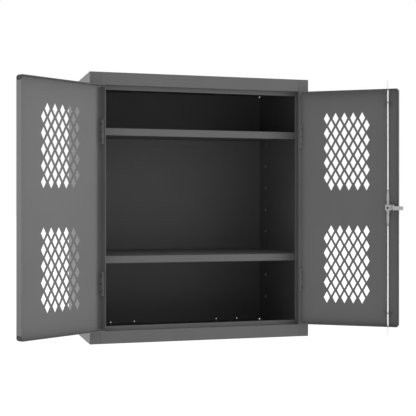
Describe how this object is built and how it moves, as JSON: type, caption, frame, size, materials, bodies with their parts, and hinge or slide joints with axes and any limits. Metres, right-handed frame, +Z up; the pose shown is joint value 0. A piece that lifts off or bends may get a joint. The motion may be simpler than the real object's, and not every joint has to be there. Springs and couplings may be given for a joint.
{
  "type": "ventilated steel storage cabinet",
  "caption": "Grey steel storage cabinet with diamond-perforated double doors standing open, shelves and a three-point latch with rods on the right door.",
  "frame": {"origin": "centre of the cabinet's underside", "axes": "+Z up, the cabinet's front faces -Y, +X to the right as seen from the front"},
  "size_m": [1.5182, 0.877, 1.0668],
  "materials": {
    "grey_powder_coat": "satin",
    "zinc_plated_steel": "bright zinc",
    "black_oxide_steel": "black oxide",
    "satin_chrome": "satin",
    "nickelled_brass": "satin"
  },
  "bodies": {
    "cabinet": {"back_panel": "grey_powder_coat", "bottom_panel": "grey_powder_coat", "header_rail": "grey_powder_coat", "hinge_frame_leaf_left_lower": "grey_powder_coat", "hinge_frame_leaf_left_upper": "grey_powder_coat", "hinge_frame_leaf_right_lower": "grey_powder_coat", "hinge_frame_leaf_right_upper": "grey_powder_coat", "hinge_pin_left_lower": "zinc_plated_steel", "hinge_pin_left_upper": "zinc_plated_steel", "hinge_pin_right_lower": "zinc_plated_steel", "hinge_pin_right_upper": "zinc_plated_steel", "shelf_clip_lower_left_back": "grey_powder_coat", "shelf_clip_lower_left_front": "grey_powder_coat", "shelf_clip_lower_right_back": "grey_powder_coat", "shelf_clip_lower_right_front": "grey_powder_coat", "shelf_clip_upper_left_back": "grey_powder_coat", "shelf_clip_upper_left_front": "grey_powder_coat", "shelf_clip_upper_right_back": "grey_powder_coat", "shelf_clip_upper_right_front": "grey_powder_coat", "shelf_lower": "grey_powder_coat", "shelf_upper": "grey_powder_coat", "side_panel_left": "grey_powder_coat", "side_panel_right": "grey_powder_coat", "sill_rail": "grey_powder_coat", "stile_left": "grey_powder_coat", "stile_right": "grey_powder_coat", "top_panel": "grey_powder_coat"},
    "left_door": {"door_left": "grey_powder_coat", "hinge_door_leaf_left_lower": "grey_powder_coat", "hinge_door_leaf_left_upper": "grey_powder_coat", "hinge_nut_plate_left_lower": "grey_powder_coat", "hinge_nut_plate_left_upper": "grey_powder_coat"},
    "right_door": {"door_right": "grey_powder_coat", "handle_escutcheon": "satin_chrome", "spindle_housing": "zinc_plated_steel", "rod_guide_upper": "grey_powder_coat", "rod_guide_lower": "grey_powder_coat", "hinge_door_leaf_right_lower": "grey_powder_coat", "hinge_door_leaf_right_upper": "grey_powder_coat", "hinge_nut_plate_right_lower": "grey_powder_coat", "hinge_nut_plate_right_upper": "grey_powder_coat"},
    "handle": {"lever_handle": "satin_chrome", "spindle": "zinc_plated_steel", "latch_crank": "zinc_plated_steel", "latch_hub": "zinc_plated_steel", "pawl": "zinc_plated_steel", "latch_clamp_plate": "zinc_plated_steel", "latch_screw": "black_oxide_steel", "crank_pin_upper": "zinc_plated_steel", "crank_pin_lower": "zinc_plated_steel"},
    "upper_rod": {"rod_upper": "zinc_plated_steel"},
    "lower_rod": {"rod_lower": "zinc_plated_steel"},
    "key_plug": {"lock_plug": "nickelled_brass"}
  },
  "joints": [
    {"name": "left_door_hinge", "type": "hinge", "parent": "cabinet", "child": "left_door", "pos_m": [-0.4155, -0.3094, 0.5334], "axis": [0, 0, -1], "range_deg": [-147.5, 27.5]},
    {"name": "right_door_hinge", "type": "hinge", "parent": "cabinet", "child": "right_door", "pos_m": [0.4155, -0.3094, 0.5334], "axis": [0, 0, 1], "range_deg": [-147.5, 27.5]},
    {"name": "handle_turn", "type": "hinge", "parent": "right_door", "child": "handle", "pos_m": [0.72196, -0.51009, 0.5334], "axis": [0.5373, 0.8434, 0], "range_deg": [0, 90]},
    {"name": "upper_rod_pivot", "type": "hinge", "parent": "handle", "child": "upper_rod", "pos_m": [0.72196, -0.51009, 0.5614], "axis": [0.5373, 0.8434, 0], "range_deg": [-94, 0]},
    {"name": "lower_rod_pivot", "type": "hinge", "parent": "handle", "child": "lower_rod", "pos_m": [0.72196, -0.51009, 0.5054], "axis": [0.5373, 0.8434, 0], "range_deg": [-94, 0]},
    {"name": "lock_plug_turn", "type": "hinge", "parent": "handle", "child": "key_plug", "pos_m": [0.72196, -0.51009, 0.5334], "axis": [0.5373, 0.8434, 0], "range_deg": [0, 90]}
  ],
  "couplings": [
    {"joint": "upper_rod_pivot", "follows": "handle_turn", "ratio": -1.0444},
    {"joint": "lower_rod_pivot", "follows": "handle_turn", "ratio": -1.0444}
  ]
}
